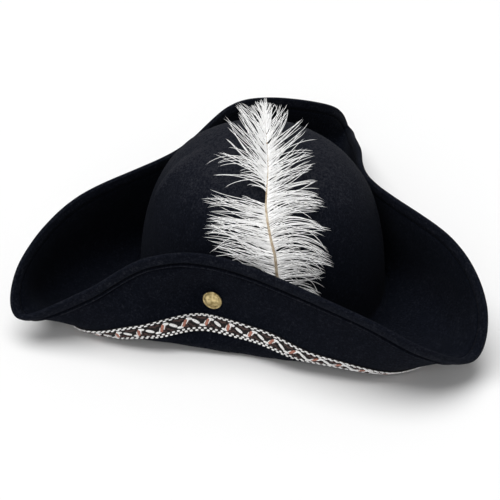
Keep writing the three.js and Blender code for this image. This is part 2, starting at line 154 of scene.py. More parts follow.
spots = np.arange(SECTIONS) * len(STATIONS) / SECTIONS
station = {name: through_stations(STATIONS[:, k], spots, 360.0 if name == "root" else 0.0)
           for k, name in enumerate(COLUMNS)}
edge_azimuth, edge_reach, edge_rise = STATIONS[:, 1], STATIONS[:, 2], STATIONS[:, 3]
rims = place(root_radius(edge_azimuth) + edge_reach * HORN_REACH, edge_azimuth, edge_rise * FLAP_RISE)
rim = through_stations(rims, spots)
root = station["root"]
azimuth = np.degrees(np.arctan2(rim[:, 0], -rim[:, 1]))
edge = azimuth + 360 * np.round((root - azimuth) / 360)
turn, lip = np.radians(station["turn"]), np.radians(station["lip"])

# The brim's sections, as curves of (distance from the crown's foot, height)
foot = np.stack([ROLL_RADIUS * (1 + np.sin(turn)), roll_height - ROLL_RADIUS * np.cos(turn)], -1)
tip = np.stack([np.hypot(rim[:, 0], rim[:, 1]) - root_radius(edge), rim[:, 2]], -1)
span = np.linalg.norm(tip - foot, axis=1)[:, None]
leave = foot + span * station["flat"][:, None] * np.stack([np.cos(turn), np.sin(turn)], -1)
arrive = tip - span * UPRIGHT * np.stack([np.cos(lip), np.sin(lip)], -1)
t = np.linspace(0, 1, SECTION_POINTS)[None, :, None]
section = (foot[:, None] * (1 - t) ** 3 + 3 * leave[:, None] * t * (1 - t) ** 2
           + 3 * arrive[:, None] * t ** 2 * (1 - t) + tip[:, None] * t ** 3)
steps = np.linalg.norm(np.diff(section, axis=1), axis=2)
travelled = np.concatenate([np.zeros((SECTIONS, 1)), np.cumsum(steps, axis=1)], axis=1)
brim_length = travelled[:, -1]
roll_length = ROLL_RADIUS * turn
felt_length = roll_length + brim_length


def brim_points(along):
    """Middle points of the felt at lengths from the bottom of the roll, one for each section."""
    inner = np.clip(along - roll_length, 0, brim_length)
    out, height = (np.array([np.interp(inner[j], travelled[j], section[j, :, c]) for j in range(SECTIONS)])
                   for c in (0, 1))
    turned = root + (edge - root) * ease(inner / brim_length)
    return place(draw_in(root_radius(turned) + out, turned, height), turned, height)


def shares_to_one(count):
    return np.linspace(0, 1, count + 1)[1:]


# Rows down the felt: the crown's top and wall, the roll, the brim's foot, across the braid, up the flap, and
# over the hem, these last by their distance from the edge.
TOP_ROWS = 18
TOP_SPAN = (0.03, 0.85)  # shares of the crown's radius
WALL_ROWS = 21
ROLL_ROWS = 5
TURN_ROWS = 4
FOOT_ROWS = 4
BAND_ROWS = 5
FLAP_ROWS = 25
HEM_ROWS = [
    13.5, 12, 11, 10.4, 10.1, 9.8, 9.5, 9.2, 8.7, 8.2, 7.8, 7.4, 7.0, 6.6, 6.1, 5.3, 4.2, 3.0, 1.8, 0.8, 0.0,
]
FAR_FROM_EDGE = 999.0  # for the rows that aren't on the brim

crown_angles = np.degrees(np.arccos(np.linspace(*TOP_SPAN, TOP_ROWS) ** (CROWN_PLAN_POWER / 2)))
shoulder = math.sin(math.radians(crown_angles[-1])) ** (2 / CROWN_RISE_POWER)
wall_rises = np.linspace(shoulder, 0, WALL_ROWS + 1)[1:]
crown_angles = np.concatenate([crown_angles, np.degrees(np.arcsin(wall_rises ** (CROWN_RISE_POWER / 2)))])
middle = [crown_point(root, angle) for angle in crown_angles]
roll_angles = [share * math.pi / 2 for share in shares_to_one(ROLL_ROWS)]
roll_angles += [math.pi / 2 + share * turn for share in shares_to_one(TURN_ROWS)]
for angle in roll_angles:
    radius = root_radius(root) + ROLL_RADIUS * (1 - np.cos(angle))
    middle.append(place(radius, root, roll_height - ROLL_RADIUS * np.sin(angle)))
braid_start = station["braid"] * BRAID_START
braid_end = braid_start + BRAID_WIDTH
last_plain = felt_length - HEM_ROWS[0]
alongs = [roll_length + (braid_start - roll_length) * share for share in shares_to_one(FOOT_ROWS)]
alongs += [braid_start + BRAID_WIDTH * share for share in shares_to_one(BAND_ROWS)]
alongs += [braid_end + (last_plain - braid_end) * share for share in shares_to_one(FLAP_ROWS + 1)[:-1]]
alongs += [felt_length - distance for distance in HEM_ROWS]
first_brim_row = len(middle)
middle = np.array(middle + [brim_points(along) for along in alongs])
rows = len(middle)
on_crown = (np.arange(rows) < len(crown_angles))[:, None]
from_edge = np.full((rows, SECTIONS), FAR_FROM_EDGE)
from_edge[first_brim_row:] = felt_length - np.array(alongs)


def across_felt(points):
    """The felt's direction across: out of the crown, and into the trough of the brim."""
    around = np.roll(points, -1, axis=1) - np.roll(points, 1, axis=1)
    return unit(np.cross(np.gradient(points, axis=0), around))


def hump(value, at, width):
    """A smooth hump of height 1 at a place, which falls to about a third at its width to each side."""
    return np.exp(-((value - at) / width) ** 2)


# Hand-shaped felt isn't quite even: it has soft waves all over, which die out where the hat stands and round
# the studs, and a moulding ridge up the crown's shoulder.
WAVES = [(0.6, 52, 0), (0.2, 19, 40)]  # height and size in mm, and a shift, so that they don't line up
STILL_HEIGHT, WAVY_HEIGHT = 7, 21
STILL_ROUND_STUD, WAVY_ROUND_STUD = 8, 30
RIDGE_AZIMUTH = 226
RIDGE_HEIGHT = 2.0
RIDGE_WIDTH = 5.0
RIDGE_FOOT, RIDGE_FULL = 62, 82  # mm up the crown
RIDGE_END, RIDGE_FADE = 117, 8

across = across_felt(middle)
waves = np.array([sum(height * noise.noise(Vector(point / size + shift)) for height, size, shift in WAVES)
                  for point in middle.reshape(-1, 3)]).reshape(rows, SECTIONS)
height_up = middle[..., 2]
waves *= ease((height_up - STILL_HEIGHT) / (WAVY_HEIGHT - STILL_HEIGHT))
for stud in STUD_AZIMUTHS:
    seat = place(crown_radius(stud, STUD_HEIGHT) + FELT + FLAP_GAP, stud, STUD_HEIGHT)
    distance = np.linalg.norm(middle - seat, axis=-1)
    waves *= ease((distance - STILL_ROUND_STUD) / (WAVY_ROUND_STUD - STILL_ROUND_STUD))
point_azimuth = np.degrees(np.arctan2(middle[..., 0], -middle[..., 1])) % 360
beside_ridge = np.radians(point_azimuth - RIDGE_AZIMUTH) * np.hypot(middle[..., 0], middle[..., 1])
ridge = hump(beside_ridge, 0, RIDGE_WIDTH) * ease((height_up - RIDGE_FOOT) / (RIDGE_FULL - RIDGE_FOOT))
ridge *= ease((RIDGE_END - height_up) / RIDGE_FADE)
waves += np.where(on_crown, RIDGE_HEIGHT * ridge, 0)
middle = middle + across * waves[..., None]
across = across_felt(middle)

# The hem's relief on each face, and how pale it is painted: the height of each swelling or groove in mm, or
# its paleness, then its distance from the edge and its width in mm. The folded edge is plump, the stitches
# pull a groove into both faces, and the ply ends in a cut edge that bites into the felt. The paleness is wear
# with painted sheen along the edge, painted shade in the stitch groove and at the cut edge, and a painted
# highlight on the ply's ridge.
GROOVE_AT, GROOVE_WIDTH = 7.0, 0.85
CUT_EDGE_AT, CUT_EDGE_WIDTH = 10.05, 0.4
UNDER_RELIEF = [(0.6, 3.4, 2.3), (-1.7, GROOVE_AT, GROOVE_WIDTH), (0.45, 8.6, 0.6),
                (-0.85, CUT_EDGE_AT, CUT_EDGE_WIDTH)]
UPPER_RELIEF = [(0.3, 4.0, 2.0), (-0.8, GROOVE_AT, GROOVE_WIDTH)]
# Wear with painted sheen along the edge, and painted shade in the stitch groove
HEM_WEAR_SHEEN_AND_SHADE = [(0.22, 2.5, 2.6), (-0.3, GROOVE_AT, GROOVE_WIDTH)]
# A painted highlight on the ply's ridge, and painted shade at its cut edge
UNDER_HEM_HIGHLIGHT_AND_SHADE = [(0.6, 8.8, 0.6), (-0.5, CUT_EDGE_AT, CUT_EDGE_WIDTH)]
PLY_PRESSED = 0.92  # share of the ply's thickness that the stitches leave
PLY_FULL, PLY_GONE = HEM_WIDTH - 0.4, HEM_WIDTH + 0.3
NOSE_ROWS = 4  # round the folded edge
NOSE_BULGE = 1.45


def by_distance(table):
    return sum(size * hump(from_edge, at, width) for size, at, width in table)


def skin(distance):
    """The felt's face at a distance from its middle, none of it below the surface that it stands on."""
    points = middle + across * distance[..., None]
    points[..., 2] = np.maximum(points[..., 2], 0)
    return points


ply = HEM_PLY * PLY_PRESSED * (1 - ease((from_edge - PLY_FULL) / (PLY_GONE - PLY_FULL)))
upper = skin(FELT / 2 + by_distance(UPPER_RELIEF))
under = skin(-FELT / 2 - ply - by_distance(UNDER_RELIEF))
nose_middle = (upper[-1] + under[-1]) / 2
nose_half = (upper[-1] - under[-1]) / 2
nose_out = unit(middle[-1] - middle[-2])
nose = [nose_middle + nose_half * math.cos(angle) + nose_out * NOSE_BULGE * math.sin(angle)
        for angle in np.arange(1, NOSE_ROWS + 1) * math.pi / (NOSE_ROWS + 1)]
rings = np.concatenate([upper, nose, under[::-1]])


def ring_faces(ring_count, ring_size, first=0):
    """Four-sided faces between closed rings of vertices, wound so that they face out."""
    i = np.arange(ring_count - 1)[:, None] * ring_size
    j = np.arange(ring_size)[None, :]
    k = (j + 1) % ring_size
    return (first + np.stack([i + j, i + ring_size + j, i + ring_size + k, i + k], -1)).reshape(-1, 4)


def mesh_piece(name, points, faces, material):
    """A smooth mesh object from points in mm round the crown's middle, riding on the hat."""
    mesh = bpy.data.meshes.new(name)
    moved = (np.asarray(points, float).reshape(-1, 3) + CROWN_MIDDLE) * MM
    mesh.from_pydata(moved.tolist(), [], [list(map(int, face)) for face in faces])
    mesh.polygons.foreach_set("use_smooth", [True] * len(mesh.polygons))
    mesh.materials.append(material)
    mesh.update()
    piece = bpy.data.objects.new(name, mesh)
    bpy.context.scene.collection.objects.link(piece)
    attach(piece, "root")
    return piece


def linear(code):
    """An sRGB hex colour as the linear values that a shader takes."""
    parts = [int(code[i:i + 2], 16) / 255 for i in (1, 3, 5)]
    return tuple(c / 12.92 if c <= 0.04045 else ((c + 0.055) / 1.055) ** 2.4 for c in parts) + (1.0,)


SURFACE = "Principled BSDF"  # the node that each new material has already


def add_node(material, kind, settings=None, links=None, stops=()):
    """Adds a shader node, or takes the surface, and gives it its settings, colour stops and links."""
    nodes = material.node_tree.nodes
    node = nodes[SURFACE] if kind == SURFACE else nodes.new("ShaderNode" + kind)
    for name, value in (settings or {}).items():
        if name in node.inputs:
            node.inputs[name].default_value = value
        else:
            setattr(node, name, value)
    for k, (position, code) in enumerate(stops):
        ramp = node.color_ramp.elements
        stop = ramp[k] if k < len(ramp) else ramp.new(position)
        stop.position, stop.color = position, linear(code)
    for name, socket in (links or {}).items():
        material.node_tree.links.new(socket, node.inputs[name])
    return node


def new_material(name):
    material = bpy.data.materials.new(name)
    material.use_nodes = True
    return material


def speck_scale(size):
    """A noise texture's scale for specks of a size in mm."""
    return 1 / (size * MM)


# Pressed wool felt: no gloss, blue-black, with matted fibres that show as fine mottling. Its colour is paled
# by a value kept on the felt's points, which is mostly painted light and shade: a painted highlight on the
# crown's top and its ridge, painted bounce light on the bottom fold, painted shade in the hem's groove and at
# its cut edge, a painted highlight on the hem's ply, and a paler hem edge that is wear with painted sheen.
# Its fibres are 0.03 mm thick: they are drawn as the specks that they mat into, 1.6 mm across, over clouds
# of 8.3 mm from the pressing.
FIBRE_SPECK = 1.613
PRESSED_CLOUD = 8.333
FIBRE_DEPTH = 0.9

felt_material = new_material("black_wool_felt")
lay = add_node(felt_material, "TexCoord").outputs["Object"]
matting = add_node(felt_material, "TexNoise",
                   {"Scale": speck_scale(PRESSED_CLOUD), "Detail": 5.0, "Roughness": 0.7}, {"Vector": lay})
fibres = add_node(felt_material, "TexNoise",
                  {"Scale": speck_scale(FIBRE_SPECK), "Detail": 4.0, "Roughness": 0.75, "Distortion": 0.8},
                  {"Vector": lay})
# The value on the felt's points: wear, painted highlight, painted bounce light and painted shade, added to
# the mottling
wear_and_painted_light = add_node(felt_material, "Attribute", {"attribute_name": "wear_and_painted_light"})
speckle = add_node(felt_material, "MapRange",
                   {"From Min": 0.34, "From Max": 0.66, "To Min": -0.42, "To Max": 0.72},
                   {"Value": fibres.outputs["Fac"]})
cloud = add_node(felt_material, "MapRange",
                 {"From Min": 0.3, "From Max": 0.7, "To Min": -0.17, "To Max": 0.17},
                 {"Value": matting.outputs["Fac"]})
tone = add_node(felt_material, "Math", {"operation": "ADD"},
                {0: speckle.outputs["Result"], 1: cloud.outputs["Result"]})
shade = add_node(felt_material, "Math", {"operation": "ADD"},
                 {0: tone.outputs["Value"], 1: wear_and_painted_light.outputs["Fac"]})
colour = add_node(felt_material, "ValToRGB", None, {"Fac": shade.outputs["Value"]},
                  [(0.0, "#03060f"), (0.45, "#0b0f19"), (1.0, "#26272d")])
bump = add_node(felt_material, "Bump", {"Strength": 1.0, "Distance": FIBRE_DEPTH * MM},
                {"Height": fibres.outputs["Fac"]})
add_node(felt_material, SURFACE,
         {"Roughness": 0.95, "Specular IOR Level": 0.08, "Sheen Weight": 0.022, "Sheen Roughness": 0.6,
          "Sheen Tint": linear("#aeb6cc")},
         {"Base Color": colour.outputs["Color"], "Normal": bump.outputs["Normal"]})

# How pale the felt is painted, kept on its points: 0 is the plain felt and 1 is palest. Most of it is painted
# light: a painted highlight on the crown's top and its ridge, a little painted shade on the crown's wall, and
# painted bounce light from the floor on the fold at the bottom. The folded edge is wear with painted sheen,
# and the under face is a little paler all over.
TOP_PAINTED_LIGHT = 0.62
TOP_PAINTED_LIGHT_POWER = 1.4
TOP_LIGHT_FROM_HEIGHT, TOP_LIGHT_FULL_HEIGHT = 66, 118
WALL_PAINTED_SHADE = -0.04
RIDGE_PAINTED_HIGHLIGHT = 0.25
FOLD_PAINTED_BOUNCE, FOLD_HEIGHT = 0.5, 9
NOSE_WEAR_AND_SHEEN = 0.1
UNDER_FACE_PALER = 0.06
POLE_PAINTED_LIGHT = [0.9, 0.3]  # at the middle of the crown's top, outside and inside

# A painted highlight that grows up the crown to its top, where the light falls from above, a little painted
# shade on the wall below it, and a painted highlight on the moulding ridge
top_share = ease((middle[..., 2] - TOP_LIGHT_FROM_HEIGHT) / (TOP_LIGHT_FULL_HEIGHT - TOP_LIGHT_FROM_HEIGHT)) ** TOP_PAINTED_LIGHT_POWER
upper_wear_and_painted_light = np.where(on_crown, WALL_PAINTED_SHADE + TOP_PAINTED_LIGHT * top_share + RIDGE_PAINTED_HIGHLIGHT * ridge, 0) + by_distance(HEM_WEAR_SHEEN_AND_SHADE)
# Painted bounce light from the floor on the brim's under face, near the fold at the bottom
under_wear_and_painted_light = upper_wear_and_painted_light + np.where(on_crown, 0, FOLD_PAINTED_BOUNCE * ease(1 - middle[..., 2] / FOLD_HEIGHT))
# The hem's under face takes its painted highlight and painted shade, and the whole under face is a little
# paler
under_wear_and_painted_light += by_distance(UNDER_HEM_HIGHLIGHT_AND_SHADE) + UNDER_FACE_PALER
# The folded edge is wear with painted sheen
ring_wear_and_painted_light = np.concatenate([upper_wear_and_painted_light, np.repeat(upper_wear_and_painted_light[-1:] + NOSE_WEAR_AND_SHEEN, NOSE_ROWS, 0), under_wear_and_painted_light[::-1]])

ring_count = len(rings)
top_pole, low_pole, last = (ring_count * SECTIONS + k for k in (0, 1, -SECTIONS))
poles = np.array([[0, 0, CROWN_HEIGHT], [0, 0, CROWN_HEIGHT - FELT]])
felt_faces = list(ring_faces(ring_count, SECTIONS))
felt_faces += [(top_pole, j, (j + 1) % SECTIONS) for j in range(SECTIONS)]
felt_faces += [(low_pole, last + (j + 1) % SECTIONS, last + j) for j in range(SECTIONS)]
felt = mesh_piece("felt_hat", np.concatenate([rings.reshape(-1, 3), poles]), felt_faces, felt_material)
wear_and_painted_light_data = felt.data.attributes.new("wear_and_painted_light", "FLOAT", "POINT")
wear_and_painted_light_data.data.foreach_set("value", np.concatenate([ring_wear_and_painted_light.ravel(), POLE_PAINTED_LIGHT]))
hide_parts("felt_body")

# Hem stitching
# One row of black machine stitches, 2.5 mm long and 3.4 mm apart, in waxed polyester thread, sunk in the
# groove on both faces of the hem.
STITCH_PITCH = 3.4
STITCH_LENGTH = 2.5
THREAD = 0.42
STITCH_OUT = 0.08  # how far a stitch's middle lies out of the groove's bottom
STITCH_SIDES = 6
STITCH_RINGS = 3
STITCH_FULLNESS = 0.5
THREAD_STRAND = 0.4
LOOK_AROUND = 0.2  # mm to each side of a point, to find a line's direction there


def bead_shape(length, width, thickness, sides, rings_along, fullness):
    """A stitch as a small oval body along x, with its points and its faces."""
    points, faces = [[-length / 2, 0, 0]], []
    for i in range(1, rings_along + 1):
        a = math.pi * i / (rings_along + 1)
        swell = math.sin(a) ** fullness / 2
        for b in 2 * math.pi * np.arange(sides) / sides:
            sideways, up = width * swell * math.cos(b), thickness * swell * math.sin(b)
            points.append([-length / 2 * math.cos(a), sideways, up])
    points.append([length / 2, 0, 0])
    end = 1 + (rings_along - 1) * sides
    for k in range(sides):
        n = (k + 1) % sides
        faces.append((0, 1 + n, 1 + k))
        for a in range(1, end, sides):
            faces.append((a + k, a + n, a + sides + n))
            faces.append((a + k, a + sides + n, a + sides + k))
        faces.append((end + k, end + n, len(points) - 1))
    return np.array(points), np.array(faces)


def lay_copies(shape, centres, xs, zs):
    """Copies of a shape at centres, with its x along xs and its z as near as can be along zs."""
    points, faces = shape
    xs = unit(xs)
    ys = unit(np.cross(zs, xs))
    axes = np.stack([xs, ys, np.cross(xs, ys)], 1)
    laid = np.einsum("pk,nkc->npc", points, axes) + centres[:, None]
    copies = faces[None] + (np.arange(len(centres)) * len(points))[:, None, None]
    return laid.reshape(-1, 3), copies.reshape(-1, 3)


def join_shapes(shapes):
    """The points and faces of several shapes as one."""
    firsts = np.cumsum([0] + [len(points) for points, _ in shapes])
    faces = [faces + first for (_, faces), first in zip(shapes, firsts)]
    return np.concatenate([points for points, _ in shapes]), np.concatenate(faces)


def close_up(points):
    return np.concatenate([points, points[:1]])


def line_lengths(points):
    """The length along a line to each of its points."""
    return np.concatenate([[0], np.cumsum(np.linalg.norm(np.diff(points, axis=0), axis=1))])


def on_line(at, lengths, points):
    return np.stack([np.interp(at, lengths, points[:, c]) for c in range(3)], -1)


def round_line(points, normals, pitch):
    """Evenly spaced points on a closed line, with its directions and the normals there."""
    closed = close_up(points)
    lengths = line_lengths(closed)
    whole = lengths[-1]
    count = int(round(whole / pitch))
    at = (np.arange(count) + 0.5) * whole / count
    ahead, behind = (on_line((at + k * LOOK_AROUND) % whole, lengths, closed) for k in (1, -1))
    return on_line(at, lengths, closed), unit(ahead - behind), unit(on_line(at, lengths, close_up(normals)))


# Waxed thread: nearly as dark as the felt and a little smoother. The mottling of its strands is drawn coarser
# than they are, at the thread's own thickness.
thread_material = new_material("black_polyester_thread")
lay = add_node(thread_material, "TexCoord").outputs["Object"]
strands = add_node(thread_material, "TexNoise",
                   {"Scale": speck_scale(THREAD_STRAND), "Detail": 2.0}, {"Vector": lay})
colour = add_node(thread_material, "ValToRGB", None, {"Fac": strands.outputs["Fac"]},
                  [(0.0, "#07080c"), (1.0, "#16181d")])
add_node(thread_material, SURFACE, {"Roughness": 0.8, "Specular IOR Level": 0.15},
         {"Base Color": colour.outputs["Color"]})

stitch = bead_shape(STITCH_LENGTH, THREAD, THREAD, STITCH_SIDES, STITCH_RINGS, STITCH_FULLNESS)
groove_row = int(np.argmin(abs(from_edge[:, 0] - GROOVE_AT)))
stitch_rows = []
for face, sign in ((under, -1.0), (upper, 1.0)):
    centres, along, out = round_line(face[groove_row], across[groove_row] * sign, STITCH_PITCH)
    stitch_rows.append(lay_copies(stitch, centres + out * STITCH_OUT, along, out))
stitching = mesh_piece("hem_stitching", *join_shapes(stitch_rows), thread_material)

# Braid
# A woven band about 13 mm wide, sewn flat round the underside of the brim. Its ground is dark brown cotton,
# with two rows of small white stitches along each edge and a white and copper zigzag between them.
BAND_THICKNESS = 0.7
BAND_ACROSS = 12.6  # the width that it keeps, also where the brim's sections cross it at a slant
NARROWING_SECTIONS = 9  # that the narrowing is averaged over
SEAT_GAP = 0.3
LINES_ACROSS = 9
BAND_STEPS = 900
BEVEL_HEIGHT = 0.2
BEVEL_SHARE = 0.03  # of the band's width
FLAT_SHARES = (0.07, 0.93)

across_band = np.array([brim_points(braid_start + BRAID_WIDTH * share) for share in (0, 0.5, 1)])
stretch = np.linalg.norm(np.diff(across_band, axis=0), axis=2).sum(axis=0) / BAND_ACROSS
average = np.ones(NARROWING_SECTIONS) / NARROWING_SECTIONS
narrowing = 1 / np.maximum(np.convolve(np.tile(stretch, 3), average, "same")[SECTIONS:2 * SECTIONS], 1)
braid_row = first_brim_row + FOOT_ROWS - 1


def band_line(share):
    """The felt's under face along the band at a share of its width: points, and the way out of the felt."""
    points = brim_points(braid_start + BRAID_WIDTH * (0.5 + (share - 0.5) * narrowing))
    low = braid_row + min(int(BAND_ROWS * share), BAND_ROWS - 1)
    part = braid_row + BAND_ROWS * share - low
    out = -unit(across[low] * (1 - part) + across[low + 1] * part)
    lift = waves[low] * (1 - part) + waves[low + 1] * part
    return points - out * lift[:, None] + out * FELT / 2, out


band_lines = [band_line(share) for share in np.linspace(0, 1, LINES_ACROSS)]
band_grid = np.array([close_up(points) for points, _ in band_lines])
band_out = np.array([close_up(out) for _, out in band_lines])
band_lengths = line_lengths(band_grid[LINES_ACROSS // 2])
band_length = band_lengths[-1]


def on_band(s, w, h):
    """Points on the band: s along it in mm, w across it from 0 to 1, and h above the felt."""
    s, w, h = np.broadcast_arrays(np.asarray(s, float), np.asarray(w, float), np.asarray(h, float))
    column = np.interp(s % band_length, band_lengths, np.arange(SECTIONS + 1))
    j = np.minimum(column.astype(int), SECTIONS - 1)
    v = column - j
    row = np.clip(w, 0, 1) * (LINES_ACROSS - 1)
    i = np.minimum(row.astype(int), LINES_ACROSS - 2)
    u = row - i

    def mixed(grid):
        here = grid[i, j].T * (1 - u) + grid[i + 1, j].T * u
        ahead = grid[i, j + 1].T * (1 - u) + grid[i + 1, j + 1].T * u
        return (here * (1 - v) + ahead * v).T

    out = unit(mixed(band_out))
    return mixed(band_grid) + out * h[..., None], out


# The band's section: shares of its width, and heights above the felt
band_top = SEAT_GAP + BAND_THICKNESS
band_profile = [(0.0, SEAT_GAP), (0.0, band_top - BEVEL_HEIGHT), (BEVEL_SHARE, band_top)]
band_profile += [(w, band_top) for w in np.linspace(*FLAT_SHARES, LINES_ACROSS)]
band_profile += [(1 - BEVEL_SHARE, band_top), (1.0, band_top - BEVEL_HEIGHT), (1.0, SEAT_GAP)]
band_profile += [(0.5, SEAT_GAP)]
band_steps = np.arange(BAND_STEPS) * band_length / BAND_STEPS
band_points = np.array([on_band(band_steps, w, h)[0] for w, h in band_profile])
count = len(band_profile)
band_faces = ring_faces(count + 1, BAND_STEPS) % (count * BAND_STEPS)

# Woven cotton: matt and nearly black, with a painted highlight on the ribs where warp and weft cross, and
# painted shade between them. The real ribs are 0.5 mm apart and are drawn 1.65 to 1.96 mm apart, so that they
# show. A wave texture's bands are pi / 10 / Scale apart.
WARP_RIBS = 1.963
WEFT_RIBS = 1.653
RIB_DEPTH = 0.3

ground_material = new_material("dark_brown_woven_cotton")
lay = add_node(ground_material, "UVMap", {"uv_map": "weave"}).outputs["UV"]
warp, weft = (add_node(ground_material, "TexWave",
                       {"Scale": math.pi / 10 / (ribs * MM), "Distortion": 0.6, "Detail": 1.0,
                        "bands_direction": way}, {"Vector": lay})
              for ribs, way in ((WARP_RIBS, "X"), (WEFT_RIBS, "Y")))
weave = add_node(ground_material, "Math", {"operation": "MULTIPLY"},
                 {0: warp.outputs["Fac"], 1: weft.outputs["Fac"]})
colour = add_node(ground_material, "ValToRGB", None, {"Fac": weave.outputs["Value"]},
                  [(0.0, "#060304"), (1.0, "#221413")])
bump = add_node(ground_material, "Bump", {"Strength": 0.6, "Distance": RIB_DEPTH * MM},
                {"Height": weave.outputs["Value"]})
add_node(ground_material, SURFACE, {"Roughness": 0.85},
         {"Base Color": colour.outputs["Color"], "Normal": bump.outputs["Normal"]})

band = mesh_piece("braid_band", band_points, band_faces, ground_material)
vertex_of_loop = np.zeros(len(band.data.loops), int)
band.data.loops.foreach_get("vertex_index", vertex_of_loop)
across_widths = np.array([w for w, _ in band_profile]) * BRAID_WIDTH
steps_at, widths_at = band_steps[vertex_of_loop % BAND_STEPS], across_widths[vertex_of_loop // BAND_STEPS]
loop_uv = np.stack([steps_at, widths_at], -1) * MM
band.data.uv_layers.new(name="weave").data.foreach_set("uv", loop_uv.ravel())
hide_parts("braid_trim")

# Braid stitches
# Thick cotton yarns that float on the band: white ovals in two rows along each edge, a zigzag of white
# lens-shaped floats and short copper ones, with a white knot at each turn, and faint brown ovals beside it.
EDGE_PITCH = 4.1
# An edge row's place as a share of the band's width, its shift as a share of the pitch, and its stitches'
# length and width in mm
EDGE_ROWS = [(0.055, 0.0, 2.3, 1.45), (0.16, 0.5, 2.3, 1.45), (0.87, 0.5, 2.8, 1.0), (0.95, 0.0, 2.8, 1.0)]
REPEAT = 16.7
# One repeat of the pattern: mm along, share of the width, slant in degrees, length and width in mm
WHITE_FLOATS = [
    (-5.5, 0.70, -8, 4.8, 2.0), (-0.6, 0.51, -31, 6.6, 2.3), (4.4, 0.31, -4, 4.8, 1.8),
    (5.9, 0.44, 62, 4.2, 0.8), (10.0, 0.57, 62, 4.8, 1.2),
]
COPPER_FLOATS = [(7.9, 0.50, 62, 6.2, 2.5)]
BROWN_FLOATS = [
    (-6.6, 0.48, 60, 3.0, 1.3), (-4.6, 0.38, -32, 3.2, 1.3), (-7.4, 0.30, 4, 3.2, 1.4),
    (3.2, 0.70, -30, 3.2, 1.3), (5.6, 0.73, 8, 3.0, 1.4), (-2.2, 0.27, -6, 2.6, 1.3),
    (1.2, 0.76, 4, 2.6, 1.3),
]
# Each yarn: its mesh, its material, roughness and tones, and its floats. Spun cotton is matt, and a little
# sheen stands for its fluff. The hollows between its plies, 0.4 mm apart, are drawn at 0.7 mm, and its darker
# tone is painted shade in them.
YARNS = [
    ("braid_white_yarn", "white_cotton_yarn", 0.75, "#c9c4be", "#ffffff", WHITE_FLOATS),
    ("braid_copper_yarn", "copper_brown_cotton_yarn", 0.7, "#6a3a2c", "#b97c69", COPPER_FLOATS),
    ("braid_brown_yarn", "dark_brown_cotton_yarn", 0.8, "#1a0f0e", "#432823", BROWN_FLOATS),
]
EDGE_THICKNESS, EDGE_FULLNESS = 1.1, 0.6
FLOAT_THICKNESS, FLOAT_FULLNESS = 1.2, 0.75
FLOAT_SIDES = 8
FLOAT_RINGS = 5
FLOAT_SINK = 0.25  # how deep a yarn is pulled into the band
FLOAT_REACH = 0.4  # mm to each side of a float's middle, to find its direction there
PLY_TWIST = 0.714
PLY_DEPTH = 0.3


def band_floats(s, w, slant, length, width, thickness, fullness):
    """Yarn floats on the band at (s, w), turned by slant degrees from the band's length."""
    height = SEAT_GAP + BAND_THICKNESS + thickness / 2 - FLOAT_SINK
    ahead, aside = FLOAT_REACH * math.cos(math.radians(slant)), FLOAT_REACH * math.sin(math.radians(slant))
    centre, out = on_band(s, w, height)
    one, other = (on_band(s + k * ahead, w + k * aside / BRAID_WIDTH, height)[0] for k in (1, -1))
    shape = bead_shape(length, width, thickness, FLOAT_SIDES, FLOAT_RINGS, fullness)
    return lay_copies(shape, centre, one - other, out)


edge_count = int(round(band_length / EDGE_PITCH))
edge_shapes = [band_floats((np.arange(edge_count) + shift) * band_length / edge_count, w, 0, length, width,
                           EDGE_THICKNESS, EDGE_FULLNESS) for w, shift, length, width in EDGE_ROWS]
repeats = int(round(band_length / REPEAT))
repeat = band_length / repeats
for name, yarn_name, roughness, hollow_shade, light, floats in YARNS:
    yarn = new_material(yarn_name)
    lay = add_node(yarn, "TexCoord").outputs["Object"]
    plies = add_node(yarn, "TexNoise",
                     {"Scale": speck_scale(PLY_TWIST), "Detail": 3.0, "Roughness": 0.6}, {"Vector": lay})
    # The darker tone is painted shade in the hollows between the plies
    colour = add_node(yarn, "ValToRGB", None, {"Fac": plies.outputs["Fac"]},
                      [(0.3, hollow_shade), (0.55, light)])
    bump = add_node(yarn, "Bump", {"Strength": 0.5, "Distance": PLY_DEPTH * MM},
                    {"Height": plies.outputs["Fac"]})
    add_node(yarn, SURFACE, {"Roughness": roughness, "Sheen Weight": 0.2},
             {"Base Color": colour.outputs["Color"], "Normal": bump.outputs["Normal"]})
    shapes = [band_floats((np.arange(repeats) + s / REPEAT) * repeat, w, slant, length, width,
                          FLOAT_THICKNESS, FLOAT_FULLNESS) for s, w, slant, length, width in floats]
    if name == "braid_white_yarn":
        shapes += edge_shapes
    stitches = mesh_piece(name, *join_shapes(shapes), yarn)

# Studs
# Each flap is held to the crown by a domed brass stud, pressed from sheet and antiqued, 14.5 mm across, with
# a rolled rim that wears bright. A post goes through both layers of felt to a plain washer inside the crown.
STUD_RIM = 1.1
STUD_DOME = 0.9
STUD_SEAT = FELT * 1.5 + FLAP_GAP + SEAT_GAP  # from the crown's middle to the cap's underside
STUD_SIDES = 96
POST_RADIUS = 1.8
WASHER_RADIUS = 5.0
WASHER = 1.2
# How far in from the cap's rim and how high above its underside each row of its rolled rim lies
RIM_ROWS = [
    (0.5, 0.0), (0.12, 0.12), (0.0, 0.45), (0.05, 0.85), (0.3, 1.12), (0.65, 1.16), (0.95, 0.98),
    (1.15, 0.88),
]
DOME_ANGLES = [14, 28, 42, 56, 70, 80]
# The stud in view sits askew in the felt: degrees sideways and down, and how far it stands out for that
SKEW_TURN = 8
SKEW_NOD = 8
SKEW_SEAT = 0.7
TINY = 0.01  # degrees and mm, to find the wall's slope

# Antiqued brass: worn metal between browner patina in patches 2.6 mm across, which is rougher, so the light
# on the dome breaks up. Fine brushing, with marks 0.67 mm across, softens it further.
PATINA_PATCH = 2.632
BRUSH_MARK = 0.667
BRUSH_DEPTH = 0.2

